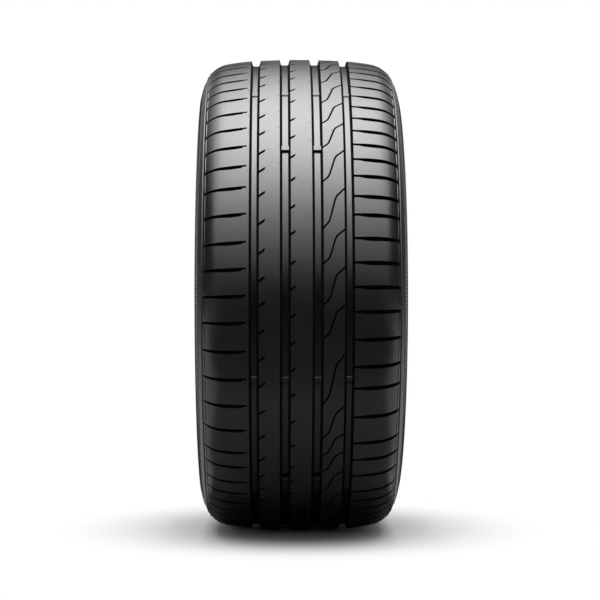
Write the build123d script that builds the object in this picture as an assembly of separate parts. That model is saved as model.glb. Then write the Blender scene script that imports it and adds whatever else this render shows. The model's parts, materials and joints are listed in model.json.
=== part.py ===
"""Car tyre, low profile, moulded in one piece of rubber.

The wheel's axis is Y and the middle of the wheel is the origin. Z is up.
The tread faces +X in the picture's view, with the outer shoulder at -Y on the left.
Lengths are millimetres and angles are degrees.
"""
from build123d import *
from math import asin, atan2, cos, degrees, radians, sin, sqrt, tan
import os

# Overall sizes
overall_diameter = 675.1
section_width = 278.4
rim_diameter = 482.6
rim_width = 241.3

# Tread surface: a flat crown out to the outer grooves, then a rounder arc to the tread's edge
crown_radius = 1050.0
tread_edge_radius = 288.0
tread_width = 205.0

# Sidewall and bead, with heights above the bead seat
bulge_height = 30.4
lip_height = 20.5
lip_setback = 2.2
flange_height = 10.5
heel_chamfer = 5.0
seat_length = 12.5
toe_chamfer = 2.0
bead_height = 9.0
bead_thickness = 15.5

# Wall thickness, and the inner side: its round under the shoulder is a share of the height inside
crown_thickness = 16.5
sidewall_thickness = 7.5
liner_round = 0.42
liner_slope = 2.5

# Four main grooves that run right round
groove_depth = 7.5
groove_draft = 15.0
inner_groove_place = 20.9
inner_groove_width = 13.9
outer_groove_place = 61.3
outer_groove_width = 12.75

# Low wear bars across every groove floor, and taller tie bars across the inner two
wear_bar_height = 1.6
wear_bar_length = 8.0
wear_bar_angles = (54.9, -19.2, 174.9, 114.9, -79.2, -139.2)
tie_bar_height = 3.8
tie_bar_length = 7.5
tie_bar_angles = (35.0, -47.0, -119.0, 169.0, 101.0)

# Shoulder slots: a narrow tip, then a part that swells and narrows again as it runs out over the shoulder
slot_depth = 6.0
slot_tip_width = 1.9
slot_start_width = 3.4
slot_width = 4.7
slot_widest_place = 100.0
slot_end_width = 3.2
slot_run_out = 0.80
left_slot_start = 76.6
left_tip_start = 71.2
left_slot_slant = 2.1
right_slot_start = 78.2
right_slot_slant = 0.7

# Slanted notches in the second and third ribs
notch_depth = 5.0
notch_width = 2.1
second_rib_reach = 8.0
third_rib_reach = 6.0
notch_slant = 36.0

# S-shaped sipes across the fourth rib
sipe_depth = 5.5
sipe_width = 1.5
sipe_bend_radius = 6.0
sipe_rise_base = 3.3
sipe_rise_share = 0.54
sipe_low_bend = (0.28, 0.16)
sipe_high_bend = (0.60, 0.79)

# Pitch sequences, so that the blocks differ in length: degrees, and the order down the front of the wheel
left_pitch = {"S": 4.6, "M": 5.44, "N": 5.9, "L": 6.41}
left_sequence = "SSSMMMMMLLNNNLLLLLSMS" * 3 + "M"
left_first = 65.3
right_pitch = {"R": 4.15, "S": 4.4, "T": 5.05, "M": 5.4, "N": 6.15, "L": 7.15}
right_sequence = "SSSSRRRRSTSMMMMNNTLLTMNS" * 2 + "SSSSRRRRSTSMMMMNNTLLTMR"
right_first = 65.65
notch_pitch = {"S": 4.8, "M": 5.5, "N": 6.0, "L": 6.6}
second_rib_sequence = "SLNMMSNLLNMNNNLLLMS" + "SMNSMLSMN" * 5
second_rib_first = 61.4
third_rib_sequence = "NSLMMNLNLMNNNNLLLS" + "SMNSMLSMN" * 5 + "S"
third_rib_first = 60.2
sipe_pitch = {"S": 5.1, "M": 7.35, "N": 7.9, "L": 9.0, "X": 11.0, "Y": 15.0}
sipe_sequence = "LMMLXNLMYLSSM" * 3 + "LMMN"
sipe_first = 58.4

# How far the cutting shapes stand out of the tread
cut_clearance = 5.0

# Sizes that follow from those above
outer_radius = overall_diameter / 2
seat_radius = rim_diameter / 2
heel_place = rim_width / 2
bulge_place = section_width / 2
bulge_radius = seat_radius + bulge_height
crown_edge = outer_groove_place + outer_groove_width / 2
tread_edge = tread_width / 2
above_tread = outer_radius + cut_clearance


def tread_radius(place):
    """Radius of the tread surface at a distance from the middle, out to the tread's edge."""
    at_crown = min(abs(place), crown_edge)
    drop = crown_radius - sqrt(crown_radius**2 - at_crown**2)
    start = crown_edge / crown_radius
    lean = start + (max(abs(place), crown_edge) - crown_edge) / tread_edge_radius
    drop += tread_edge_radius * (sqrt(1 - start**2) - sqrt(1 - lean**2))
    return outer_radius - drop


def tread_point(place):
    return Vector(place, tread_radius(place))


def tread_arc(start, end):
    return ThreePointArc(tread_point(start), tread_point((start + end) / 2), tread_point(end))


def double_arc(start, start_way, end, end_way):
    """Two arcs that meet smoothly, and leave and arrive along the given ways."""
    span = end - start
    ways = start_way + end_way
    turn = 2 * (1 - start_way.dot(end_way))
    along = span.dot(ways)
    reach = (sqrt(along**2 + turn * span.dot(span)) - along) / turn
    joint = (start + start_way * reach + end - end_way * reach) * 0.5
    first = TangentArc(start, joint, tangent=start_way)
    return first, TangentArc(joint, end, tangent=first % 1)


def groove_outline(place, width):
    """Draughted walls and floor of a main groove, from the middle of the tread outwards."""
    near = place - width / 2
    far = place + width / 2
    floor = tread_radius(place) - groove_depth
    run = groove_depth * tan(radians(groove_draft))
    return Polyline(
        tread_point(near),
        (near + run, floor),
        (far - run, floor),
        tread_point(far),
    )


def shoulder_arcs():
    """From the tread's edge over the shoulder to the widest place of the sidewall."""
    lean = asin(crown_edge / crown_radius + (tread_edge - crown_edge) / tread_edge_radius)
    bulge = Vector(bulge_place, bulge_radius)
    return double_arc(
        tread_point(tread_edge), Vector(cos(lean), -sin(lean)), bulge, Vector(0, -1)
    )


def liner(bead_top):
    """The inner side: straight up from the bead, round under the shoulder, and across the crown."""
    crown = Vector(0, outer_radius - crown_thickness)
    slope = radians(liner_slope)
    radius = liner_round * (crown.Y - bead_top.Y)
    middle = Vector(bulge_place - sidewall_thickness - radius, 0)
    middle.Y = crown.Y - middle.X * tan(slope) - radius / cos(slope)
    top = middle + Vector(sin(slope), cos(slope)) * radius
    away = middle - bead_top
    toward = atan2(away.Y, away.X) - asin(radius / away.length)
    foot = bead_top + Vector(cos(toward), sin(toward)) * sqrt(away.dot(away) - radius**2)
    side = middle + Vector(radius, 0)
    return [Line(bead_top, foot), ThreePointArc(foot, side, top), Line(top, crown)]


def half_outline():
    """The section's right half: tread, sidewall, bead and inner side."""
    inner_near = inner_groove_place - inner_groove_width / 2
    inner_far = inner_groove_place + inner_groove_width / 2
    outer_near = outer_groove_place - outer_groove_width / 2
    tread = [
        Line(tread_point(0), tread_point(inner_near)),
        groove_outline(inner_groove_place, inner_groove_width),
        Line(tread_point(inner_far), tread_point(outer_near)),
        groove_outline(outer_groove_place, outer_groove_width),
        tread_arc(crown_edge, tread_edge),
        *shoulder_arcs(),
    ]
    bulge = Vector(bulge_place, bulge_radius)
    lip = Vector(bulge_place - lip_setback, seat_radius + lip_height)
    seat_outer = Vector(heel_place - heel_chamfer, seat_radius)
    seat_inner = seat_outer - Vector(seat_length, 0)
    bead_top = Vector(heel_place - bead_thickness, seat_radius + bead_height)
    bead = Polyline(
        bulge,
        lip,
        (heel_place, seat_radius + flange_height),
        (heel_place, seat_radius + heel_chamfer),
        seat_outer,
        seat_inner,
        seat_inner + Vector(-toe_chamfer, toe_chamfer),
        bead_top,
    )
    return Curve() + tread + bead + liner(bead_top)


def ring():
    """The round body with its main grooves, before the tread blocks are cut."""
    half = half_outline()
    section = make_face(half.edges() + mirror(half, about=Plane.YZ).edges())
    return revolve(Plane.YZ * section, Axis.Y)


def at_angle(shape, angle):
    """Carry a shape from the front of the wheel up round the tread."""
    return Rot(0, -angle, 0) * shape


def stations(sequence, pitch, first):
    """Angle of each pitch, closed up to one full turn."""
    scale = 360 / sum(pitch[letter] for letter in sequence)
    angle = first
    for letter in sequence:
        length = pitch[letter] * scale
        yield angle
        angle -= length


def bars(place, width, height, length, angles):
    """Bars across a pair of grooves. They reach as deep into the floor as they stand above it."""
    floor = tread_radius(place) - groove_depth
    block = Box(2 * height, width, length)
    for side in (-1, 1):
        for angle in angles:
            yield at_angle(Pos(floor, side * place, 0) * block, angle)


def groove_bars():
    inner = (inner_groove_place, inner_groove_width)
    outer = (outer_groove_place, outer_groove_width)
    yield from bars(*inner, wear_bar_height, wear_bar_length, wear_bar_angles)
    yield from bars(*outer, wear_bar_height, wear_bar_length, wear_bar_angles)
    yield from bars(*inner, tie_bar_height, tie_bar_length, tie_bar_angles)


def radial_prism(outline, floor):
    """A plan outline across (Y) and up (Z) the tread, from a floor radius to above the tread."""
    return extrude(Plane.YZ.offset(floor) * outline, above_tread - floor)


def slot(tip_start, wide_start, side, slant):
    """One shoulder slot, with its tip along its upper edge. Its floor runs out on the shoulder."""
    end = shoulder_arcs()[0] @ slot_run_out
    floor = tread_radius(tread_edge) - slot_depth
    side_view = Polyline(
        (tip_start, above_tread),
        (tip_start, tread_radius(tip_start) - slot_depth),
        (tread_edge, floor),
        end,
        (end.X, above_tread),
        close=True,
    )
    side_plane = Plane(origin=(0, 0, 0), x_dir=(0, side, 0), z_dir=(0, 0, -side))
    fin = extrude(side_plane * make_face(side_view), slot_width, both=True)
    upper = slot_width / 2
    plan = Polyline(
        (side * tip_start, upper),
        (side * tip_start, upper - slot_tip_width),
        (side * wide_start, upper - slot_tip_width),
        (side * wide_start, upper - slot_start_width),
        (side * slot_widest_place, -upper),
        (side * end.X, upper - slot_end_width),
        (side * end.X, upper),
        close=True,
    )
    body = extrude(Plane.YZ * make_face(plan), above_tread) & fin
    pivot = Pos(0, side * wide_start, 0)
    return pivot * Rot(slant, 0, 0) * pivot.inverse() * body


def notch(groove_edge, reach):
    """A slanted notch that opens into the groove on its left."""
    floor = tread_radius(groove_edge) - notch_depth
    start = groove_edge - notch_depth * tan(radians(groove_draft)) - notch_width
    length = (groove_edge - start + reach) / cos(radians(notch_slant))
    bar = Rectangle(length, notch_width, align=(Align.MIN, Align.CENTER))
    drop = (groove_edge - start) * tan(radians(notch_slant))
    return radial_prism(Pos(start, -drop) * Rot(0, 0, notch_slant) * bar, floor)


def sipe(pitch):
    """An S-shaped cut from groove to groove: shallow ends and a steep middle."""
    left = inner_groove_place + inner_groove_width / 2
    right = outer_groove_place - outer_groove_width / 2
    into_groove = sipe_depth * tan(radians(groove_draft)) + sipe_width
    across = right - left
    rise = radians(sipe_rise_base + sipe_rise_share * pitch) * outer_radius
    low_bend = Vector(left + sipe_low_bend[0] * across, sipe_low_bend[1] * rise)
    high_bend = Vector(left + sipe_high_bend[0] * across, sipe_high_bend[1] * rise)
    start = Vector(left, 0)
    start = start - (low_bend - start) * (into_groove / (low_bend.X - left))
    end = Vector(right, rise)
    end = end + (end - high_bend) * (into_groove / (right - high_bend.X))
    path = FilletPolyline(start, low_bend, high_bend, end, radius=sipe_bend_radius)
    floor = tread_radius((left + right) / 2) - sipe_depth
    middle = rise / 2 / outer_radius
    prism = radial_prism(Pos(0, -rise / 2) * trace(path, sipe_width), floor)
    return at_angle(prism, degrees(middle))


def tread_cuts():
    left_slot = slot(left_tip_start, left_slot_start, -1, left_slot_slant)
    second_rib_notch = notch(outer_groove_width / 2 - outer_groove_place, second_rib_reach)
    third_rib_notch = notch(inner_groove_width / 2 - inner_groove_place, third_rib_reach)
    for angle in stations(left_sequence, left_pitch, left_first):
        yield at_angle(left_slot, angle)
    for angle in stations(second_rib_sequence, notch_pitch, second_rib_first):
        yield at_angle(second_rib_notch, angle)
    for angle in stations(third_rib_sequence, notch_pitch, third_rib_first):
        yield at_angle(third_rib_notch, angle)
    right_slot = slot(outer_groove_place, right_slot_start, 1, right_slot_slant)
    for angle in stations(right_sequence, right_pitch, right_first):
        yield at_angle(right_slot, angle)
    sipes = {letter: sipe(length) for letter, length in sipe_pitch.items()}
    block_above = sipe_sequence[-1] + sipe_sequence[:-1]
    for angle, letter in zip(stations(sipe_sequence, sipe_pitch, sipe_first), block_above):
        yield at_angle(sipes[letter], angle)


tyre = ring()
tyre = tyre + list(groove_bars())
tyre = tyre - list(tread_cuts())

os.makedirs("parts", exist_ok=True)
export_step(tyre, "parts/tyre.step")
print("tyre", round(tyre.volume / 1000), "cm3,", len(tyre.faces()), "faces")
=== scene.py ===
# %% [markdown]
# # A low-profile car tyre
# A car tyre is moulded in one piece: a tread of ribs, grooves and small cuts, two sidewalls, and
# two beads that grip the wheel's rim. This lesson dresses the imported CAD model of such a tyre. The
# CAD model is the frame: its box and its bead seats give the sizes, and nothing here goes outside
# that box.

# %% Load the frame
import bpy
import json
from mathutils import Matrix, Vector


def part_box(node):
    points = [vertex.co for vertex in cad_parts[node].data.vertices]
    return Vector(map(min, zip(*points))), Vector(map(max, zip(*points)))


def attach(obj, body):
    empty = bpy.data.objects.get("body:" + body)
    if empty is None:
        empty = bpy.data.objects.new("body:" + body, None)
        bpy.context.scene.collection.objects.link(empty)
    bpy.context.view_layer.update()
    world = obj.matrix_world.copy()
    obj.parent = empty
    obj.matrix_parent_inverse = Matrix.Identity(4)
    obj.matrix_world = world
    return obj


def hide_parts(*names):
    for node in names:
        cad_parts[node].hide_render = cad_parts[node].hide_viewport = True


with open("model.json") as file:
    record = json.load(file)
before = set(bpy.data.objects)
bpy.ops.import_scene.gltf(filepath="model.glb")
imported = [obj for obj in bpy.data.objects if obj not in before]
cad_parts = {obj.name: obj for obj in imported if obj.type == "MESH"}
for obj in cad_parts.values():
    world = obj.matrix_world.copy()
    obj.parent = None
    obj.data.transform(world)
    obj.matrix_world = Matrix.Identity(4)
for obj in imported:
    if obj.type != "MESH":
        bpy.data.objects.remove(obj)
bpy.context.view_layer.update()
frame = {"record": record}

# %% Read the sizes
import json
from math import asin, atan2, cos, degrees, radians, sin, sqrt, tan

import bpy
import numpy as np

mm = 0.001
low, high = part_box("tyre")
outer_radius = min(high.x - low.x, high.z - low.z) / 2 / mm
half_width = (high.y - low.y) / 2 / mm
seat_radius = frame["record"]["mounts"][0]["dims"]["r_mm"]
degree_per_mm = degrees(1 / outer_radius)
print("tyre", round(2 * outer_radius, 1), "by", round(2 * half_width, 1), "mm")
print("rim", round(2 * seat_radius, 1), "mm")

# %% [markdown]
# ## The camera
# The photograph looks straight at the tread from the front, level with the wheel's middle. A long
# lens from 2.7 m away keeps the sides nearly straight. The wheel's middle sits a little above the
# middle of the picture, so the camera is aimed at a point just under it.

# %% Set the camera
camera_distance = 2.709
camera_yaw = radians(-0.652)
camera_lens, camera_film = 112.2, 36.0
aim = (0.0, 0.0016, -0.0075)
camera = bpy.data.objects.new("camera", bpy.data.cameras.new("camera"))
bpy.context.collection.objects.link(camera)
camera.location = (camera_distance * cos(camera_yaw), camera_distance * sin(camera_yaw), 0)
sight = Vector(aim) - camera.location
camera.rotation_euler = sight.to_track_quat("-Z", "Y").to_euler()
camera.data.sensor_width = camera_film
camera.data.lens = camera_lens
bpy.context.scene.camera = camera
print("camera at", [round(v, 3) for v in camera.location])

# %% [markdown]
# ## The section
# Cut through, the tread is a flat crown that rounds off towards the shoulders, and each shoulder is
# two arcs that meet smoothly and end at the widest place of the sidewall. These lines could be read
# off the CAD model's mesh, but a formula is exact and gives a point anywhere. The same sizes made
# the CAD model, so the skin drawn here lies on it. Lengths are millimetres until the mesh is made.

# %% Draw the crown
crown_radius = 1050.0
tread_edge_radius = 288.0
tread_edge = 102.5
inner_groove, inner_width = 20.9, 13.9
outer_groove, outer_width = 61.3, 12.75
crown_edge = outer_groove + outer_width / 2
crown_edge_lean = crown_edge / crown_radius


def tread_radius(place):
    """Radius of the tread's surface at a distance from the middle."""
    across = np.abs(place)
    at_crown = np.minimum(across, crown_edge)
    drop = crown_radius - np.sqrt(crown_radius**2 - at_crown**2)
    lean = crown_edge_lean + (np.maximum(across, crown_edge) - crown_edge) / tread_edge_radius
    drop = drop + tread_edge_radius * (sqrt(1 - crown_edge_lean**2) - np.sqrt(1 - lean**2))
    return outer_radius - drop


print("tread edge", round(outer_radius - tread_radius(tread_edge), 1), "mm lower than the middle")

# %% Draw the shoulder
bulge_height = 30.4
arc_steps = 200


def arc(start, way, end):
    """Points of the arc that leaves start along way and ends at end, and its last direction."""
    chord = end - start
    side = np.array([way[1], -way[0]])
    middle = start + side * (chord @ chord) / (2 * (chord @ side))
    turn = 2 * atan2(chord @ side, chord @ way)
    angles = np.linspace(0, turn, arc_steps)
    spoke = start - middle
    x = middle[0] + spoke[0] * np.cos(angles) + spoke[1] * np.sin(angles)
    y = middle[1] - spoke[0] * np.sin(angles) + spoke[1] * np.cos(angles)
    last_way = way * cos(turn) + side * sin(turn)
    return np.stack([x, y], axis=1), last_way


edge_lean = asin(crown_edge_lean + (tread_edge - crown_edge) / tread_edge_radius)
edge_point = np.array([tread_edge, tread_radius(tread_edge)])
edge_way = np.array([cos(edge_lean), -sin(edge_lean)])
bulge_point = np.array([half_width, seat_radius + bulge_height])
bulge_way = np.array([0.0, -1.0])
span, ways = bulge_point - edge_point, edge_way + bulge_way
bend = 2 * (1 - edge_way @ bulge_way)
reach = (sqrt((span @ ways) ** 2 + bend * (span @ span)) - span @ ways) / bend
joint = (edge_point + edge_way * reach + bulge_point - bulge_way * reach) / 2
upper_arc, joint_way = arc(edge_point, edge_way, joint)
lower_arc, _ = arc(joint, joint_way, bulge_point)
shoulder = np.vstack([upper_arc, lower_arc[1:]])
shoulder_run = np.insert(np.cumsum(np.linalg.norm(np.diff(shoulder, axis=0), axis=1)), 0, 0.0)
print("shoulder line", round(shoulder_run[-1], 1), "mm long")

# %% [markdown]
# ## A skin made of rings
# The tyre could be cut out of a plain ring with booleans, but then the edges stay hard and the mesh
# is ragged. Here the skin is woven instead: each ring is a closed line of points round the wheel,
# and neighbouring rings are joined by quads. Where two ribs have different cuts, their rings have
# different numbers of points, and a row of triangles stitches them together at a groove's foot.
# Each point notes how far it is sunk below the tread, so that faces inside a cut get a finish of
# their own.

# %% Rings and faces
points, sunk = [], []
faces, face_finish = [], []
TREAD, SIDEWALL, LINER, CUT, FLOOR = range(5)
least_sink = 0.05
bar_end_step = 0.8
bar_top = 0.6


def add_ring(angles, place, radius, below=0.0):
    """Add a closed ring of points, noting how far they lie below the surface."""
    first = len(points)
    turn = np.radians(angles)
    place = np.broadcast_to(place, turn.shape)
    ring = np.stack([radius * np.cos(turn), place, radius * np.sin(turn)], axis=1)
    points.extend((ring * mm).tolist())
    sunk.extend(np.broadcast_to(below, turn.shape).tolist())
    return np.arange(first, first + len(turn)), np.asarray(angles)


def add_face(corners, finish):
    """Add a face. Faces below the tread's surface or on a bar's steep end belong to a cut and get
    its painted shade.
    """
    sinks = [sunk[corner] for corner in corners]
    inside = finish == TREAD and sum(sinks) / len(sinks) > least_sink
    if finish == FLOOR:
        inside = max(sinks) - min(sinks) > bar_end_step
        finish = TREAD if max(sinks) < -bar_top else FLOOR
    faces.append(corners)
    face_finish.append(CUT if inside else finish)


# %% Weaving and stitching
def weave(rings, finish):
    """Join rings that have the same lines by quads."""
    for (one, _), (other, _) in zip(rings, rings[1:]):
        quads = np.stack([one, np.roll(one, -1), np.roll(other, -1), other], axis=1)
        for quad in quads.tolist():
            add_face(quad, finish)


def stitch(one, other, finish):
    """Join two rings that have different lines by triangles."""
    a, a_angle = one
    b, b_angle = other
    start = int(np.argmin(np.abs((b_angle - a_angle[0] + 180) % 360 - 180)))
    b, b_angle = np.roll(b, -start), np.roll(b_angle, -start)
    ahead = (a_angle[0] - b_angle[0] + 180) % 360 - 180
    a_turn = np.append(a_angle[0] - a_angle, 360)
    b_turn = np.append((b_angle[0] - b_angle) % 360, 360) + ahead
    i = j = 0
    while i < len(a) or j < len(b):
        here, there = a[i % len(a)], b[j % len(b)]
        if j == len(b) or (i < len(a) and a_turn[i + 1] < b_turn[j + 1]):
            i += 1
            add_face([here, a[i % len(a)], there], finish)
        else:
            j += 1
            add_face([here, b[j % len(b)], there], finish)


# %% [markdown]
# ## The pitch of the blocks
# The blocks of a tread differ in length, in a mixed order, so that the tyre doesn't hum on one
# note. An even pitch would be simpler to set out, but every block would look the same. Each row has
# a few block lengths and a sequence of letters, closed up to one full turn. The angles start at the
# top of the front and go down, and they are the CAD model's own.

# %% Set out the rows
left_pitch = {"S": 4.6, "M": 5.44, "N": 5.9, "L": 6.41}
left_sequence = "SSSMMMMMLLNNNLLLLLSMS" * 3 + "M"
right_pitch = {"R": 4.15, "S": 4.4, "T": 5.05, "M": 5.4, "N": 6.15, "L": 7.15}
right_sequence = "SSSSRRRRSTSMMMMNNTLLTMNS" * 2 + "SSSSRRRRSTSMMMMNNTLLTMR"
notch_pitch = {"S": 4.8, "M": 5.5, "N": 6.0, "L": 6.6}
second_sequence = "SLNMMSNLLNMNNNLLLMS" + "SMNSMLSMN" * 5
third_sequence = "NSLMMNLNLMNNNNLLLS" + "SMNSMLSMN" * 5 + "S"
sipe_pitch = {"S": 5.1, "M": 7.35, "N": 7.9, "L": 9.0, "X": 11.0, "Y": 15.0}
sipe_sequence = "LMMLXNLMYLSSM" * 3 + "LMMN"


def stations(sequence, pitch, first):
    """Angle of each block, in degrees."""
    lengths = np.array([pitch[letter] for letter in sequence])
    lengths = lengths * 360 / lengths.sum()
    return first - np.insert(np.cumsum(lengths)[:-1], 0, 0.0)


left_angles = stations(left_sequence, left_pitch, first=65.3)
right_angles = stations(right_sequence, right_pitch, first=65.65)
second_angles = stations(second_sequence, notch_pitch, first=61.4)
third_angles = stations(third_sequence, notch_pitch, first=60.2)
sipe_angles = stations(sipe_sequence, sipe_pitch, first=58.4)
print(len(left_angles), "left and", len(right_angles), "right blocks,", len(sipe_angles), "sipes")

# %% [markdown]
# ## Lines at a cut
# The mould has a blade for every slot, notch and sipe. Cutting with a copy of each blade would be
# slow, so all three are made of lines. Six lines follow each cut across its rib: two where the
# rounded edge starts, two at the lips, and two at the corners of the floor. A few more lines lie on
# the block that follows. Pushing the floor lines inwards opens the cut, with its edges already
# softened, and where the depth is nothing the same lines just lie on the rib. They never quite meet
# there, so that no face shrinks to nothing.

# %% Lines round a rib
edge_round = 0.2
cut_draft = 3.0
least_depth = 0.5
cut_line_count = 6


def cut_lines(centres, upper, lower, depth, between, stretch=1.0):
    """Angles and depths of all lines round a rib, for cuts from lower to upper at their centres."""
    count = len(centres)
    sizes = (upper, lower, depth, stretch)
    upper, lower, depth, stretch = (np.broadcast_to(size, count) for size in sizes)
    taper = np.maximum(depth, least_depth) * tan(radians(cut_draft))
    rims = [upper + edge_round, upper, upper - taper, lower + taper, lower, lower - edge_round]
    at_cut = centres[:, None] + np.stack(rims, axis=1) * stretch[:, None] * degree_per_mm
    next_cut = np.roll(at_cut[:, 0], -1)
    next_cut[-1] -= 360
    share = np.arange(1, between + 1) / (between + 1)
    last_line = at_cut[:, cut_line_count - 1:]
    on_block = last_line + (next_cut[:, None] - last_line) * share
    lip = np.minimum(depth, edge_round)
    none = np.zeros(count)
    drops = np.stack([none, lip, depth, depth, lip, none], axis=1)
    angles = np.hstack([at_cut, on_block]).ravel()
    depths = np.hstack([drops, np.zeros((count, between))]).ravel()
    return angles, depths


def rib_ring(place, lines):
    """A ring on a rib's top, with its cuts."""
    angles, depths = lines
    return add_ring(angles, place, tread_radius(place) - depths, depths)


# %% [markdown]
# ## Main grooves and their bars
# Four grooves run right round, with draughted walls and a rounded foot. Low wear bars cross every
# floor, and taller tie bars cross the inner two. The bars could be blocks of their own, but then
# they would only rest on the floor. Here a floor is a band with lines at the ends of each bar, and
# the foot of each wall rises where a bar meets it. The lines at a bar's ends are close together, so
# that the bar stands up steeply and its edges stay round.

# %% Bars
groove_depth = 7.5
groove_draft = 15.0
# Height, length, softness of the ends, and angles
wear_bars = (1.6, 8.0, 1.2, (54.9, -19.2, 174.9, 114.9, -79.2, -139.2))
tie_bars = (3.8, 7.5, 0.5, (35.0, -47.0, -119.0, 169.0, 101.0))
bar_end_share = 0.55


def bars_in(groove):
    """The kinds of bar in a groove."""
    return [wear_bars, tie_bars] if abs(groove) == inner_groove else [wear_bars]


def turned_from(angles, place):
    """How far some angles are from a place, in degrees."""
    return np.abs((angles - place + 180) % 360 - 180)


def bar_rise(groove, angles):
    """How high the bars of a groove stand at some angles. Their ends are rounded off."""
    rise = np.zeros(len(angles))
    for height, length, soft, places in bars_in(groove):
        ends = [length / 2 - soft, length / 2, length / 2 + soft]
        for place in places:
            away = turned_from(angles, place) / degree_per_mm
            heights = [height, bar_end_share * height, 0.0]
            rise = np.maximum(rise, np.interp(away, ends, heights))
    return rise


print("bars in an inner groove:", sum(len(places) for *_, places in bars_in(inner_groove)))

# %% Groove floors
plain_step = 1.5
bar_clearance = 1.0
foot_round = 1.2
foot_inset, foot_lift = 0.3, 0.4
slope = tan(radians(groove_draft))


def floor_rings(groove, width):
    """The band of a groove's floor, from its left foot to its right foot."""
    angles = np.arange(0, -360, -plain_step)
    for _, length, soft, places in bars_in(groove):
        half = length / 2
        ends = np.array([half + soft, half, half - soft, 0, soft - half, -half, -half - soft])
        for place in places:
            clear = turned_from(angles, place) > (half + soft + bar_clearance) * degree_per_mm
            angles = np.append(angles[clear], place + ends * degree_per_mm)
    angles = np.sort(-(-angles % 360))[::-1]
    rise = bar_rise(groove, angles)
    half = width / 2 - (groove_depth - rise) * slope
    floor = tread_radius(groove) - groove_depth + rise
    return [
        add_ring(angles, groove - half + foot_inset, floor + foot_lift),
        add_ring(angles, groove - half + foot_round, floor, -rise),
        add_ring(angles, groove + half - foot_round, floor, -rise),
        add_ring(angles, groove + half - foot_inset, floor + foot_lift),
    ]


print("outer groove's floor", round(outer_width - 2 * groove_depth * slope, 1), "mm wide")

# %% Groove walls
def wall_rings(groove, edge, lines_at):
    """The wall of a groove from its foot to the rounded edge of the rib beside it."""
    side = 1 if edge > groove else -1
    top = tread_radius(edge)
    angles, depths = lines_at(edge)
    down = np.minimum(groove_depth - foot_round, groove_depth - bar_rise(groove, angles))
    foot_depth = np.maximum(down, depths)
    foot = add_ring(angles, edge - side * down * slope, top - foot_depth, foot_depth)
    lip_depth = np.maximum(edge_round, depths)
    lip = add_ring(angles, edge - side * edge_round * slope, top - lip_depth, lip_depth)
    rounded_edge = edge + side * edge_round
    return [foot, lip, rib_ring(rounded_edge, lines_at(rounded_edge))]


# %% [markdown]
# ## The left shoulder
# The left shoulder carries long slots that run out over the edge of the tread. Each slot starts in
# a narrow tip along its upper side, swells, and narrows again as it runs out. Its width is read off
# a few places across the tread, which is easier to fit to the real tyre than a formula. Outside the
# slots a thin raised ridge closes off every block, and a fine hollow parts it from the sidewall.

# %% Follow the shoulder line
way_step = 0.5


def on_line(run):
    """Place and radius at a distance along the shoulder line."""
    place = np.interp(run, shoulder_run, shoulder[:, 0])
    radius = np.interp(run, shoulder_run, shoulder[:, 1])
    return np.array([place, radius])


def on_shoulder(run, height=0.0):
    """Place and radius on the shoulder line, with a height that stands out of it."""
    place, radius = on_line(run)
    way_place, way_radius = on_line(run + way_step) - on_line(run - way_step)
    size = sqrt(way_place**2 + way_radius**2)
    return place - way_radius / size * height, radius + way_place / size * height


def surface_radius(across):
    """Radius of the tread and the shoulder at a distance from the middle."""
    if across <= tread_edge:
        return tread_radius(across)
    return np.interp(across, shoulder[:, 0], shoulder[:, 1])


slot_end_run = 29.4
slot_end = on_shoulder(slot_end_run)
print("slots end", round(slot_end[0], 1), "mm from the middle")

# %% Sizes of the slots
slot_depth = 6.0
slot_blocks = 4
left_tip_start = 71.2
left_slot_start, left_slot_slant = 76.6, 2.1
# Places across the tread, and the widths and upper edges there
left_places = (76.25, 76.95, 92.0, slot_end[0])
left_widths = (2.5, 4.2, 5.2, 2.6)
left_tops = (1.95, 1.95, 1.95, 1.7)
right_slot_start, right_slot_slant = 78.2, 0.7
right_places = (73.5, 84.0, 94.0, slot_end[0])
right_widths = (3.1, 5.2, 5.8, 4.4)
right_tops = (2.7, 3.2, 3.4, 2.7)
print("left slots up to", max(left_widths), "and right up to", max(right_widths), "mm wide")


# %% Depth and lines of a slot
def slot_cut(across, start):
    """Depth of a shoulder slot: even over the tread, and running out on the shoulder."""
    if across <= start or across >= slot_end[0]:
        return 0.0
    places = [start, tread_edge, slot_end[0]]
    start_floor, edge_floor = tread_radius(np.array(places[:2])) - slot_depth
    floor = np.interp(across, places, [start_floor, edge_floor, slot_end[1]])
    return max(0.0, surface_radius(across) - floor)


def slot_lines(place):
    """Lines of the left or right shoulder at a place."""
    across = abs(place)
    if place < 0:
        start, wide, angles, slant = left_tip_start, left_slot_start, left_angles, -left_slot_slant
        places, tops, widths = left_places, left_tops, left_widths
    else:
        start, wide, angles, slant = 0.0, right_slot_start, right_angles, right_slot_slant
        places, tops, widths = right_places, right_tops, right_widths
    upper = np.interp(across, places, tops)
    lower = upper - np.interp(across, places, widths)
    centres = angles + tan(radians(slant)) * (across - wide) * degree_per_mm
    return cut_lines(centres, upper, lower, slot_cut(across, start), slot_blocks)


print("slots", round(slot_cut(tread_edge, left_tip_start), 1), "mm deep at the tread's edge")

# %% Run-out, ridge and hollow
run_out = (3.0, 6.5, 10.0, 13.2, 16.2, 19.0, 21.5, 23.6)
ridge_height, hollow = 0.6, -0.5
ridge_runs = (25.4, 25.9, 27.7, 28.2)
ridge_heights = (0.0, ridge_height, ridge_height, hollow)
hollow_run = 30.6


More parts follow.
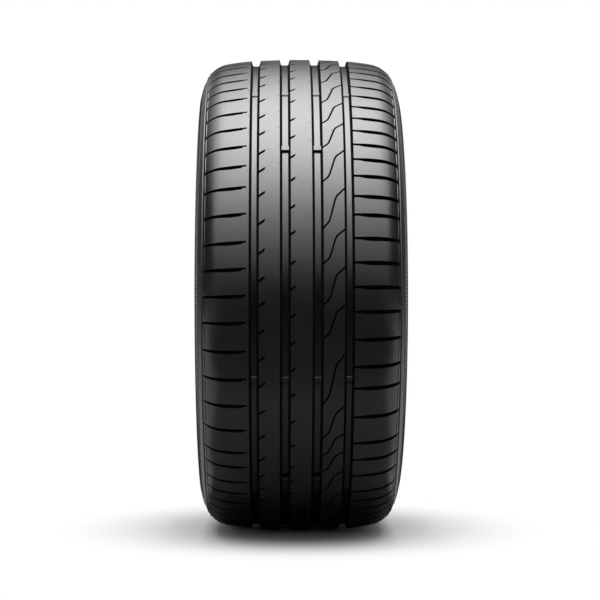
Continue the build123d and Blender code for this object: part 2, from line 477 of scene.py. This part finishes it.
def shoulder_rings(side):
    """Rings from the slots' run-out to the hollow outside the blocks."""
    rings = []
    for run in run_out:
        place, radius = on_shoulder(run)
        angles, depths = slot_lines(side * place)
        rings.append(add_ring(angles, side * place, radius - depths, depths))
    for run, height in zip(ridge_runs, ridge_heights):
        middle, _ = on_shoulder(run)
        angles, depths = slot_lines(side * middle)
        on_block = np.arange(len(angles)) % (cut_line_count + slot_blocks) >= cut_line_count
        place, radius = on_shoulder(run, np.where(on_block, height, min(height, 0.0)))
        rings.append(add_ring(angles, side * place, radius - depths, depths))
    place, radius = on_shoulder(hollow_run, hollow)
    angles, _ = slot_lines(side * place)
    rings.append(add_ring(angles, side * place, radius))
    return rings


# %% Rings of the left shoulder
left_edge = -outer_groove - outer_width / 2
left_tread = [71.15, 71.25, 73.8, 76.2, 77.0, 82.0, 88.0, 94.0, 99.0]
left_shoulder = wall_rings(-outer_groove, left_edge, slot_lines)
left_shoulder += [rib_ring(-across, slot_lines(-across)) for across in left_tread]
left_shoulder += shoulder_rings(-1)
left_shoulder.reverse()
print("left shoulder", len(left_shoulder), "rings of", len(left_shoulder[0][0]), "points")

# %% [markdown]
# ## The right shoulder
# The right shoulder's slots open into the groove beside them: a narrow neck first, which widens
# gradually on its way out to the edge. The same lines make them, only without a closed tip.

# %% Rings of the right shoulder
right_edge = outer_groove + outer_width / 2
right_tread = [71.0, 74.5, 77.8, 78.6, 84.0, 90.0, 96.0, 100.0]
right_shoulder = wall_rings(outer_groove, right_edge, slot_lines)
right_shoulder += [rib_ring(across, slot_lines(across)) for across in right_tread]
right_shoulder += shoulder_rings(1)
print("right shoulder", len(right_shoulder), "rings of", len(right_shoulder[0][0]), "points")

# %% [markdown]
# ## The second and third ribs
# These two ribs run unbroken, with a short slanted notch in each block on the side of the groove to
# their left. A square end would need fewer lines, but the real one is round, so the notch's lines
# close in over its last millimetre.

# %% Notched ribs
notch_depth = 5.0
notch_slant = radians(36.0)
notch_blocks = 3
# Distances from the notch's end, and the share of its width there
notch_ends, notch_shares = (-1.2, -0.5, 0.0), (1.0, 0.8, 0.4)
notch_wall, plain_gap = 0.1, 2.5
second_rib_reach, second_rib_width = 8.0, 2.95
third_rib_reach, third_rib_width = 6.0, 2.7


def notched_rib(left_groove, left, right_groove, right, reach, width, stand):
    """All rings of a rib with notches."""
    lean = tan(notch_slant) * degree_per_mm

    def lines_at(place):
        along = place - left
        half = width / 2 * np.interp(along - reach, notch_ends, notch_shares)
        depth = notch_depth if along < reach - notch_wall / 2 else 0.0
        centres = stand + lean * min(along, reach)
        return cut_lines(centres, half, -half, depth, notch_blocks, 1 / cos(notch_slant))

    steps = [reach / 2, reach + notch_ends[0], reach + notch_ends[1], reach - notch_wall, reach]
    plain = np.linspace(left + reach + plain_gap, right - edge_round, 4)[:-1]
    rings = wall_rings(left_groove, left, lines_at)
    rings += [rib_ring(place, lines_at(place)) for place in [*(left + s for s in steps), *plain]]
    return rings + wall_rings(right_groove, right, lines_at)[::-1]


second_rib = notched_rib(
    -outer_groove, outer_width / 2 - outer_groove, -inner_groove, -inner_groove - inner_width / 2,
    second_rib_reach, second_rib_width, second_angles,
)
third_rib = notched_rib(
    -inner_groove, inner_width / 2 - inner_groove, inner_groove, inner_groove - inner_width / 2,
    third_rib_reach, third_rib_width, third_angles,
)
print("second rib", len(second_rib), "rings of", len(second_rib[0][0]), "points")
print("third rib", len(third_rib), "rings of", len(third_rib[0][0]), "points")

# %% [markdown]
# ## The fourth rib
# S-shaped sipes cross the fourth rib from groove to groove: they rise gently, climb steeply in the
# middle and run out gently again. Their rise grows with the length of the block above. A spline
# would do for the S, but three straight runs are easier to fit, and averaging over a short reach
# rounds them. Where the S is steep, its lines are stretched apart, so that the sipe keeps its
# width.

# %% The line of a sipe
sipe_left = inner_groove + inner_width / 2
sipe_right = outer_groove - outer_width / 2
sipe_across = sipe_right - sipe_left
rise_base, rise_share = 3.3, 0.54
block_above = sipe_sequence[-1] + sipe_sequence[:-1]
sipe_rise = rise_base + rise_share * np.array([sipe_pitch[letter] for letter in block_above])
# Shares of the way across, and of the rise
run_places, run_heights = (-0.4, 0.28, 0.60, 1.4), (-0.229, 0.16, 0.79, 1.21)
run_steps = np.linspace(run_places[0], run_places[-1], 901)
run_line = np.interp(run_steps, run_places, run_heights)
window = 75
padded = np.pad(run_line, window // 2, mode="reflect", reflect_type="odd")
run_curve = np.convolve(padded, np.ones(window) / window, "valid")
run_slope = np.gradient(run_curve, run_steps)
print("sipes rise", round(sipe_rise.min(), 1), "to", round(sipe_rise.max(), 1), "degrees")

# %% Rings of the fourth rib
sipe_depth, sipe_width = 5.5, 2.05
sipe_blocks = 6
sipe_rings = 20


def sipe_lines(place):
    """Lines of the fourth rib at a place."""
    share = (place - sipe_left) / sipe_across
    climb = np.interp(share, run_steps, run_curve)
    steep = np.interp(share, run_steps, run_slope) * sipe_rise / degree_per_mm / sipe_across
    centres = sipe_angles + sipe_rise * climb
    half = sipe_width / 2
    return cut_lines(centres, half, -half, sipe_depth, sipe_blocks, np.sqrt(1 + steep**2))


sipe_places = np.linspace(sipe_left, sipe_right, sipe_rings)[1:-1]
fourth_rib = wall_rings(inner_groove, sipe_left, sipe_lines)
fourth_rib += [rib_ring(place, sipe_lines(place)) for place in sipe_places]
fourth_rib += wall_rings(outer_groove, sipe_right, sipe_lines)[::-1]
print("fourth rib", len(fourth_rib), "rings of", len(fourth_rib[0][0]), "points")

# %% [markdown]
# ## Sidewall and bead
# Below the shoulder come a thin ring, a shallow band, and a plain wall out to the rib that guards
# the rim. Then the section turns in under a soft lip to the flange, the round heel, the seat and
# the toe. A bevel would round all corners alike, so the section is drawn as a line of steps on the
# wall, and then of corners with a round of its own on each.

# %% Step down the wall
# Distance along the shoulder line, and height that stands out of it
wall_steps = [
    (31.2, hollow), (32.0, 0.5), (33.2, 0.5), (33.9, 0.0), (37.0, 0.0), (40.5, 0.0),
    (43.6, 0.0), (44.1, 0.45), (44.9, 0.45), (45.4, -0.35), (50.0, -0.35), (55.0, -0.35),
    (59.6, -0.35), (60.1, 0.45), (60.9, 0.45), (61.4, 0.0), (65.0, 0.0), (69.0, 0.0), (72.5, 0.0),
]
wall = [on_shoulder(run, height) for run, height in wall_steps]
print("wall", len(wall), "rings on each side")

# %% Turn in to the bead
heel = 120.65
seat_width = 17.5
# Place, radius and size of the round
bead_corners = [
    (half_width, seat_radius + bulge_height, 0),
    (half_width - 2.2, seat_radius + 20.5, 4.0),
    (heel, seat_radius + 10.5, 2.5),
    (heel, seat_radius, 5.0),
    (heel - seat_width - 2.0, seat_radius, 1.6),
    (heel - seat_width + 2.0, seat_radius + 9.0, 0),
]
round_steps = 6


def rounded(corners):
    """A line through corners, with a round on each but the ends."""
    line = [corners[0][:2]]
    for before, here, after in zip(corners, corners[1:], corners[2:]):
        corner = np.array(here[:2])
        back, ahead = np.array(before[:2]) - corner, np.array(after[:2]) - corner
        back, ahead = back / np.linalg.norm(back), ahead / np.linalg.norm(ahead)
        for t in np.linspace(0, 1, round_steps):
            line.append(tuple(corner + here[2] * ((1 - t) ** 2 * back + t**2 * ahead)))
    line.append(corners[-1][:2])
    return line


side_section = wall + rounded(bead_corners)
plain_lines = np.arange(0, -360, -plain_step)
right_side = [add_ring(plain_lines, place, radius) for place, radius in side_section]
left_side = [add_ring(plain_lines, -place, radius) for place, radius in side_section][::-1]
print("sidewall and bead", len(side_section), "rings on each side")

# %% [markdown]
# ## The inner side
# Inside, the wall rises from the bead, turns in a wide round under the shoulder and runs nearly
# flat across under the crown. An offset of the outer line would be quicker, but the wall is thin
# and the crown is thick, so the inner line is drawn for itself.

# %% Draw the liner
crown_thickness, wall_thickness = 16.5, 7.5
crown_inside = outer_radius - crown_thickness
liner_slope = radians(2.5)
round_share = 0.42
round_turns = np.radians(np.linspace(-12, 87.5, 9))
under_tread = (70.0, 35.0)
liner_round = round_share * (crown_inside - side_section[-1][1])
round_place = half_width - wall_thickness - liner_round
round_radius = crown_inside - round_place * tan(liner_slope) - liner_round / cos(liner_slope)
round_places = round_place + liner_round * np.cos(round_turns)
round_radii = round_radius + liner_round * np.sin(round_turns)
liner_right = list(zip(round_places, round_radii))
liner_right += [(place, crown_inside - place * tan(liner_slope)) for place in under_tread]
liner_left = [(-place, radius) for place, radius in reversed(liner_right)]
liner_section = [*liner_right, (0.0, crown_inside), *liner_left]
liner = [add_ring(plain_lines, place, radius) for place, radius in liner_section]
print("liner", len(liner), "rings")

# %% [markdown]
# ## Close the skin
# The bands now join up, once round the section: left side, shoulder, groove, rib, groove and so on
# to the right bead, and back through the inside. The result is one closed mesh. Its edges over 22
# degrees stay crisp, and everything else is shaded smooth.

# %% Weave everything together
grooves = [
    floor_rings(-outer_groove, outer_width),
    floor_rings(-inner_groove, inner_width),
    floor_rings(inner_groove, inner_width),
    floor_rings(outer_groove, outer_width),
]
ribs = [left_shoulder, second_rib, third_rib, fourth_rib, right_shoulder]
weave(left_side, SIDEWALL)
stitch(left_side[-1], left_shoulder[0], SIDEWALL)
for rib, floor, following in zip(ribs, grooves, ribs[1:]):
    weave(rib, TREAD)
    stitch(rib[-1], floor[0], CUT)
    weave(floor[:2], CUT)
    weave(floor[1:3], FLOOR)
    weave(floor[2:], CUT)
    stitch(floor[-1], following[0], CUT)
weave(right_shoulder, TREAD)
stitch(right_shoulder[-1], right_side[0], SIDEWALL)
weave(right_side, SIDEWALL)
stitch(right_side[-1], liner[0], LINER)
weave(liner, LINER)
stitch(liner[-1], left_side[0], LINER)
print(len(points), "points and", len(faces), "faces")

# %% Make the mesh
crisp_angle = radians(22)
mesh = bpy.data.meshes.new("tyre_rubber")
mesh.from_pydata(points, [], faces)
mesh.polygons.foreach_set("material_index", face_finish)
mesh.polygons.foreach_set("use_smooth", [True] * len(faces))
mesh.set_sharp_from_angle(angle=crisp_angle)
mesh.update()
tyre = bpy.data.objects.new("tyre_rubber", mesh)
bpy.context.collection.objects.link(tyre)
mesh.calc_loop_triangles()
print("tyre_rubber", len(mesh.loop_triangles), "triangles")

# %% [markdown]
# ## Rubber
# Tyre rubber is a near-black polymer with a dull gloss. The mould leaves a grain that breaks up the
# shine, so the roughness, the shade and the bump all come from noise: broad clouds for the first
# two, and two finer sizes of grain for the bump. One finish for the whole tyre would be simpler,
# but its parts differ: the top of the tread and the smooth groove floors shine, the sidewall is
# duller, and the liner is matt with a coarse grain. The walls and lips of the cuts get a darker
# finish that hardly reflects: painted shade for their hollows and edges.

# %% Nodes for a finish
def joined(tree, operation, one, other):
    """A maths node that joins two values."""
    node = tree.nodes.new("ShaderNodeMath")
    node.operation = operation
    tree.links.new(one, node.inputs[0])
    tree.links.new(other, node.inputs[1])
    return node.outputs["Value"]


def noise(tree, place, scale, detail):
    """Noise that is fixed to the tyre."""
    node = tree.nodes.new("ShaderNodeTexNoise")
    node.inputs["Scale"].default_value = scale
    node.inputs["Detail"].default_value = detail
    tree.links.new(place, node.inputs["Vector"])
    return node.outputs["Fac"]


# %% Mix the rubber
cloud_scale, cloud_detail = 28, 4
fine_detail, coarse_detail = 3, 2
coarseness = 3.5
shine_spread, shade_spread = 0.05, 0.15
grain_strength = 0.35


def rubber(name, colour, roughness, gloss, grain, depth):
    """A rubber finish whose shade, shine and grain vary a little over the surface."""
    material = bpy.data.materials.new(name)
    material.use_nodes = True
    tree = material.node_tree
    shader = tree.nodes["Principled BSDF"]
    shader.inputs["Specular IOR Level"].default_value = gloss
    place = tree.nodes.new("ShaderNodeTexCoord").outputs["Object"]
    cloud = noise(tree, place, cloud_scale, cloud_detail)
    shine = tree.nodes.new("ShaderNodeMapRange")
    shine.inputs["To Min"].default_value = roughness - shine_spread
    shine.inputs["To Max"].default_value = roughness + shine_spread
    tree.links.new(cloud, shine.inputs["Value"])
    tree.links.new(shine.outputs["Result"], shader.inputs["Roughness"])
    shade = tree.nodes.new("ShaderNodeMixRGB")
    shade.inputs["Color1"].default_value = (*((1 - shade_spread) * c for c in colour), 1)
    shade.inputs["Color2"].default_value = (*((1 + shade_spread) * c for c in colour), 1)
    tree.links.new(cloud, shade.inputs["Fac"])
    tree.links.new(shade.outputs["Color"], shader.inputs["Base Color"])
    fine = noise(tree, place, grain, fine_detail)
    coarse = noise(tree, place, grain / coarseness, coarse_detail)
    bump = tree.nodes.new("ShaderNodeBump")
    bump.inputs["Strength"].default_value = grain_strength
    bump.inputs["Distance"].default_value = depth
    tree.links.new(joined(tree, "ADD", fine, coarse), bump.inputs["Height"])
    tree.links.new(bump.outputs["Normal"], shader.inputs["Normal"])
    return material


# %% Give each part its finish
# Name, colour, roughness, gloss, fineness of the grain, and its depth in metres
tread_finish = rubber("tread_rubber", (0.006, 0.006, 0.0063), 0.30, 0.6, 900, 0.0002)
sidewall_finish = rubber("sidewall_rubber", (0.012, 0.012, 0.0126), 0.40, 0.5, 700, 0.0002)
liner_finish = rubber("liner_rubber", (0.014, 0.014, 0.0147), 0.55, 0.5, 300, 0.0004)
# The cut finish is painted shade: darker and almost without reflection, for the hollows and lips of
# the cuts.
cut_shade_finish = rubber("cut_rubber", (0.004, 0.004, 0.0042), 0.80, 0.03, 700, 0.0002)
groove_finish = rubber("groove_rubber", (0.003, 0.003, 0.0032), 0.22, 0.6, 900, 0.0001)
for finish in (tread_finish, sidewall_finish, liner_finish, cut_shade_finish, groove_finish):
    mesh.materials.append(finish)
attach(tyre, "root")
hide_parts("tyre")
print("finishes", [finish.name for finish in mesh.materials])

# %% [markdown]
# ## Vent marks
# Air leaves the mould through small holes, and each hole leaves a trimmed stub on the tread. There
# is about one to each block. They are too many to place by hand, so each row takes its angles from
# the cuts beside it, and all stubs share one mesh. They are set only where they stay inside the
# CAD model's box.

# %% Shape the stubs
stub_size, stub_height = 0.75, 0.55
stub_corners = 8
# Share of the size, and height
stub_levels = ((1.0, -0.4), (1.0, 0.3 * stub_height), (0.7, stub_height))
stub_points, stub_faces = [], []


def add_stub(place, turn):
    """One stub: three levels of corners, joined by quads and closed at both ends."""
    first = len(stub_points)
    for share, height in stub_levels:
        radius = tread_radius(place) + height
        for side in np.linspace(0, 2 * np.pi, stub_corners, endpoint=False):
            way = turn + stub_size * share * sin(side) / radius
            across = place + stub_size * share * cos(side)
            stub_points.append((radius * cos(way) * mm, across * mm, radius * sin(way) * mm))
    last = first + stub_corners * (len(stub_levels) - 1)
    for level in range(first, last, stub_corners):
        for k in range(stub_corners):
            here, after = level + k, level + (k + 1) % stub_corners
            stub_faces.append((here, after, after + stub_corners, here + stub_corners))
    stub_faces.append(tuple(range(last, last + stub_corners)))
    stub_faces.append(tuple(reversed(range(first, first + stub_corners))))


# %% Set the stubs
# Place across the tread, and angles. The last row has a stub at every second block.
vent_rows = [
    (-69.4, left_angles - 1.0),
    (-44.0, second_angles + 1.35),
    (-29.6, second_angles + 2.3),
    (-7.0, third_angles + 1.05),
    (11.6, third_angles + 4.8),
    (40.6, sipe_angles + 0.72 * sipe_rise),
    (70.8, right_angles[5::2] + 1.3),
]
for place, angles in vent_rows:
    stub_top = tread_radius(place) + stub_height
    for turn in np.radians(angles):
        if stub_top * max(abs(cos(turn)), abs(sin(turn))) <= outer_radius:
            add_stub(place, turn)
stub_mesh = bpy.data.meshes.new("vent_stubs")
stub_mesh.from_pydata(stub_points, [], stub_faces)
stub_mesh.materials.append(tread_finish)
stubs = bpy.data.objects.new("vent_stubs", stub_mesh)
bpy.context.collection.objects.link(stubs)
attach(stubs, "root")
print("vent_stubs", len(stub_points) // (stub_corners * len(stub_levels)), "stubs")

# %% [markdown]
# ## The serrated band
# The shallow band on the sidewall is filled with fine radial ribs. On the real tyre they hide the
# joints of the plies under the skin. An array of one rib would be flat, so each is a small wedge
# that follows the wall's curve, with its foot sunk in the wall.

# %% Faces of a wedge
def closed_wedge(first, rows):
    """Faces of one wedge whose rows of three points start at first."""
    last = first + 3 * (rows - 1)
    skin = [(first, first + 1, first + 2), (last + 2, last + 1, last)]
    for row in range(first, last, 3):
        for k in range(3):
            after = (k + 1) % 3
            skin.append((row + k, row + 3 + k, row + 3 + after, row + after))
    return skin


# %% Raise the serrations
wedge_count = 360
wedge_half, wedge_height, wedge_foot = 1.3, 0.35, 0.6
wedge_runs = (46.0, 50.2, 54.6, 59.0)
wedge_corners = ((-wedge_half, -wedge_foot), (0.0, wedge_height), (wedge_half, -wedge_foot))
wedge_points, wedge_faces = [], []
for side in (-1, 1):
    for turn in np.linspace(0, 2 * np.pi, wedge_count, endpoint=False):
        wedge_faces += closed_wedge(len(wedge_points), len(wedge_runs))
        for run in wedge_runs:
            for offset, height in wedge_corners:
                place, radius = on_shoulder(run, height)
                way = turn + side * offset / radius
                point = (radius * cos(way), side * place, radius * sin(way))
                wedge_points.append(tuple(c * mm for c in point))
wedge_mesh = bpy.data.meshes.new("side_serrations")
wedge_mesh.from_pydata(wedge_points, [], wedge_faces)
wedge_mesh.materials.append(sidewall_finish)
wedges = bpy.data.objects.new("side_serrations", wedge_mesh)
bpy.context.collection.objects.link(wedges)
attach(wedges, "root")
print("side_serrations", 2 * wedge_count, "ribs")

# %% [markdown]
# ## Lines on the inner side
# A rubber bag presses the tyre into its mould, and the air between them leaves through slanted
# grooves in the bag. Each groove leaves a thin raised line on the inner side. A bump in the finish
# would look much the same, but the mesh would stay smooth, so each line is a low wedge that follows
# the section and sinks into the wall at both ends.

# %% Raise the inner lines
line_count = 180
line_half, line_height, line_foot = 1.1, 0.7, 0.3
line_slant = 0.0012
line_path = np.array(liner_section)
line_way = np.gradient(line_path, axis=0)
line_way /= np.linalg.norm(line_way, axis=1)[:, None]
line_normal = np.stack([-line_way[:, 1], line_way[:, 0]], axis=1)
line_tops = np.full(len(line_path), line_height)
line_tops[[0, -1]] = -line_foot / 2
line_points, line_faces = [], []
for turn in np.linspace(0, 2 * np.pi, line_count, endpoint=False):
    line_faces += closed_wedge(len(line_points), len(line_path))
    for spot, normal, top in zip(line_path, line_normal, line_tops):
        for offset, height in ((-line_half, -line_foot), (0.0, top), (line_half, -line_foot)):
            place, radius = spot + normal * height
            way = turn + line_slant * spot[0] + offset / radius
            line_points.append((radius * cos(way) * mm, place * mm, radius * sin(way) * mm))
line_mesh = bpy.data.meshes.new("liner_lines")
line_mesh.from_pydata(line_points, [], line_faces)
line_mesh.materials.append(liner_finish)
inner_lines = bpy.data.objects.new("liner_lines", line_mesh)
bpy.context.collection.objects.link(inner_lines)
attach(inner_lines, "root")
print("liner_lines", line_count, "lines")

# %% [markdown]
# ## The floor
# The photograph has a plain white ground. A white floor carries the soft shadow near the wheel and
# fades into pure white farther off. More light would whiten it too, but it would also wash out the
# rubber, so the white is a glow that only the camera sees, and mirrors a little farther out.

# %% Lay the floor
floor_half = 9.0
corner_signs = ((-1, -1), (1, -1), (1, 1), (-1, 1))
floor_corners = [(x * floor_half, y * floor_half, 0) for x, y in corner_signs]
floor_mesh = bpy.data.meshes.new("floor")
floor_mesh.from_pydata(floor_corners, [], [(0, 1, 2, 3)])
floor = bpy.data.objects.new("floor", floor_mesh)
floor.location.z = low.z
bpy.context.collection.objects.link(floor)
print("floor", 2 * floor_half, "m wide")

# %% Nodes for the white ground
def mirrored(tree):
    """One for glossy and transmission rays, and nothing for others."""
    path = tree.nodes.new("ShaderNodeLightPath").outputs
    return joined(tree, "MAXIMUM", path["Is Glossy Ray"], path["Is Transmission Ray"])


def photographed(tree):
    """One for camera rays, and nothing for others."""
    return tree.nodes.new("ShaderNodeLightPath").outputs["Is Camera Ray"]


def fade(tree, nearest, farthest):
    """Nothing up to the nearest distance from the wheel, and one from the farthest on."""
    where = tree.nodes.new("ShaderNodeTexCoord")
    distance = tree.nodes.new("ShaderNodeVectorMath")
    distance.operation = "LENGTH"
    tree.links.new(where.outputs["Object"], distance.inputs[0])
    node = tree.nodes.new("ShaderNodeMapRange")
    node.interpolation_type = "SMOOTHSTEP"
    node.inputs["From Min"].default_value = nearest
    node.inputs["From Max"].default_value = farthest
    tree.links.new(distance.outputs["Value"], node.inputs["Value"])
    return node.outputs["Result"]


# %% Whiten the floor
picture_fade, mirror_fade = (0.12, 0.36), (0.3, 1.15)
paper = bpy.data.materials.new("white_floor")
paper.use_nodes = True
tree = paper.node_tree
matt = tree.nodes["Principled BSDF"]
matt.inputs["Base Color"].default_value = (0.92, 0.92, 0.92, 1)
matt.inputs["Roughness"].default_value = 0.9
matt.inputs["Specular IOR Level"].default_value = 0.1
white = tree.nodes.new("ShaderNodeEmission")
in_picture = joined(tree, "MULTIPLY", photographed(tree), fade(tree, *picture_fade))
in_mirror = joined(tree, "MULTIPLY", mirrored(tree), fade(tree, *mirror_fade))
blend = tree.nodes.new("ShaderNodeMixShader")
tree.links.new(joined(tree, "MAXIMUM", in_picture, in_mirror), blend.inputs["Fac"])
tree.links.new(matt.outputs["BSDF"], blend.inputs[1])
tree.links.new(white.outputs["Emission"], blend.inputs[2])
tree.links.new(blend.outputs["Shader"], tree.nodes["Material Output"].inputs["Surface"])
floor_mesh.materials.append(paper)
print("floor white from", picture_fade[1], "m")

# %% [markdown]
# ## The room
# A pale room and one broad soft light overhead light the tyre evenly. Several small lamps would do
# too, but each would leave a spot on the rubber. The light is hidden from reflections, and in them
# the room is as white as the ground. Rubber this dark is seen mostly by what it mirrors, and that
# is shaped with cards in the next step.

# %% Light the room
fill_strength = 0.4
world = bpy.data.worlds.new("studio")
bpy.context.scene.world = world
world.use_nodes = True
tree = world.node_tree
fill = tree.nodes["Background"]
fill.inputs["Color"].default_value = (1, 1, 1, 1)
fill.inputs["Strength"].default_value = fill_strength
ground = tree.nodes.new("ShaderNodeBackground")
ground.inputs["Color"].default_value = (1, 1, 1, 1)
choose = tree.nodes.new("ShaderNodeMixShader")
tree.links.new(joined(tree, "MAXIMUM", photographed(tree), mirrored(tree)), choose.inputs["Fac"])
tree.links.new(fill.outputs["Background"], choose.inputs[1])
tree.links.new(ground.outputs["Background"], choose.inputs[2])
tree.links.new(choose.outputs["Shader"], tree.nodes["World Output"].inputs["Surface"])
print("room light of strength", fill_strength)

# %% Hang the soft light
light_place, light_size, light_radiance = (0.35, 0, 1.9), (1.9, 2.6), 2.5
lamp = bpy.data.lights.new("overhead", "AREA")
lamp.shape = "RECTANGLE"
lamp.size, lamp.size_y = light_size
lamp.energy = light_radiance * np.pi * light_size[0] * light_size[1]
overhead = bpy.data.objects.new("overhead", lamp)
overhead.location = light_place
overhead.visible_camera = False
overhead.visible_glossy = False
bpy.context.collection.objects.link(overhead)
print("soft light of", round(lamp.energy, 1), "W")

# %% [markdown]
# ## Cards
# In a studio, cards round the object shape its highlights. Here a bright sheet bends over the wheel
# from the front to the back. Its glow swells and fades along the bend and dims to its sides, so the
# upper tread shines, the shoulders fall off softly and the front goes black. A lamp of one
# brightness would leave hard edges. Dark and grey cards at the front, the back and the foot are
# mirrored where the tread has to stay dark. All cards show only in reflections.

# %% Bend a card
def only_mirrored(card):
    """Hide a card from everything but reflections."""
    card.visible_camera = False
    card.visible_diffuse = False
    card.visible_shadow = False


def bent_card(name, radius, turns, across, axis):
    """A sheet bent round the wheel's axle, or round the upright, with a row for each edge."""
    turns = np.radians(turns)
    count = len(turns)
    spots = []
    for edge in across:
        for turn, along in zip(turns, np.broadcast_to(edge, count)):
            x, bent = radius * cos(turn), radius * sin(turn)
            spots.append((x, along, bent) if axis == "axle" else (x, bent, along))
    quads = []
    for row in range(0, len(spots) - count, count):
        for i in range(row, row + count - 1):
            quads.append((i, i + 1, i + count + 1, i + count))
    sheet = bpy.data.meshes.new(name)
    sheet.from_pydata(spots, [], quads)
    card = bpy.data.objects.new(name, sheet)
    bpy.context.collection.objects.link(card)
    only_mirrored(card)
    return card


# %% The bright sheet
shine_radius = 2.2
# Angle up from the front, and the glow there
glow_turns = [6, 24, 36, 48, 60, 72, 84, 96, 110, 125, 140]
glow_levels = [0.0, 1.5, 3.0, 6.0, 9.6, 11.7, 11.4, 8.8, 4.7, 1.5, 0.0]
# Distance to the side, and the share of the glow that is lost there
loss_places, loss_shares = [0.6, 0.78, 1.0, 1.4, 2.3], [0.0, 0.2, 0.4, 0.58, 0.7]
sheet_steps, sheet_rows = 50, 17
card_turns = np.linspace(glow_turns[0], glow_turns[-1], sheet_steps)
# The sheet narrows towards the back
card_half = np.interp(card_turns, [30, 110], [2.5, 1.8])
card_rows = np.array([share * card_half for share in np.linspace(-1, 1, sheet_rows)])
side_loss = np.interp(np.abs(card_rows), loss_places, loss_shares)
# Its low front dims less to the sides
side_loss *= np.interp(card_turns, [35, 65], [0.3, 1.0])
card_glow = (1 - side_loss) * np.interp(card_turns, glow_turns, glow_levels)
shine_card = bent_card("shine_card", shine_radius, card_turns, card_rows, "axle")
glow = shine_card.data.attributes.new("glow", "FLOAT", "POINT")
glow.data.foreach_set("value", card_glow.ravel())
print("bright sheet up to", round(card_glow.max(), 1))

# %% Light the sheet
lit = bpy.data.materials.new("shine_card")
lit.use_nodes = True
tree = lit.node_tree
tree.nodes.remove(tree.nodes["Principled BSDF"])
level = tree.nodes.new("ShaderNodeAttribute")
level.attribute_name = "glow"
light = tree.nodes.new("ShaderNodeEmission")
tree.links.new(level.outputs["Fac"], light.inputs["Strength"])
tree.links.new(light.outputs["Emission"], tree.nodes["Material Output"].inputs["Surface"])
shine_card.data.materials.append(lit)
print("sheet glows by its", level.attribute_name, "values")

# %% Dark and grey cards
room_radius, card_top, back_foot = 3.8, 2.6, 0.25


def card_paint(name, shade, roughness):
    """A plain grey paint."""
    paint = bpy.data.materials.new(name)
    paint.use_nodes = True
    shader = paint.node_tree.nodes["Principled BSDF"]
    shader.inputs["Base Color"].default_value = (shade, shade, shade, 1)
    shader.inputs["Roughness"].default_value = roughness
    return paint


dark = card_paint("dark_card", 0.02, 0.5)
grey = card_paint("grey_card", 0.25, 0.9)
front_turns, back_turns = np.linspace(-145, 145, 30), np.linspace(158, 202, 6)
front_card = bent_card("dark_card", room_radius, front_turns, (low.z, card_top), "upright")
front_card.data.materials.append(dark)
back_card = bent_card("back_card", room_radius, back_turns, (back_foot, card_top), "upright")
back_card.data.materials.append(grey)
print("room of cards", 2 * room_radius, "m across")

# %% Cards on the floor
patch_lift = 0.001
# Near and far end, half the width, and paint. The dark patch under the wheel is painted shadow,
# mirrored in the lowest tread.
patches = [(-0.12, 0.17, 0.19, dark), (0.17, 0.52, 0.3, grey), (0.52, room_radius, 1.5, dark)]
patch_points, patch_faces = [], []
patch_mesh = bpy.data.meshes.new("floor_card")
for near, far, half, paint in patches:
    first = len(patch_points)
    for x, y in ((near, -half), (far, -half), (far, half), (near, half)):
        patch_points.append((x, y, low.z + patch_lift))
    patch_faces.append(range(first, first + 4))
    patch_mesh.materials.append(paint)
patch_mesh.from_pydata(patch_points, [], patch_faces)
patch_mesh.polygons.foreach_set("material_index", range(len(patches)))
mat = bpy.data.objects.new("floor_card", patch_mesh)
bpy.context.collection.objects.link(mat)
only_mirrored(mat)
print("floor_card", len(patches), "patches")

# %% [markdown]
# ## Finish
# The last cell sets plain colours.

# %% Finish
bpy.context.scene.view_settings.view_transform = "Standard"
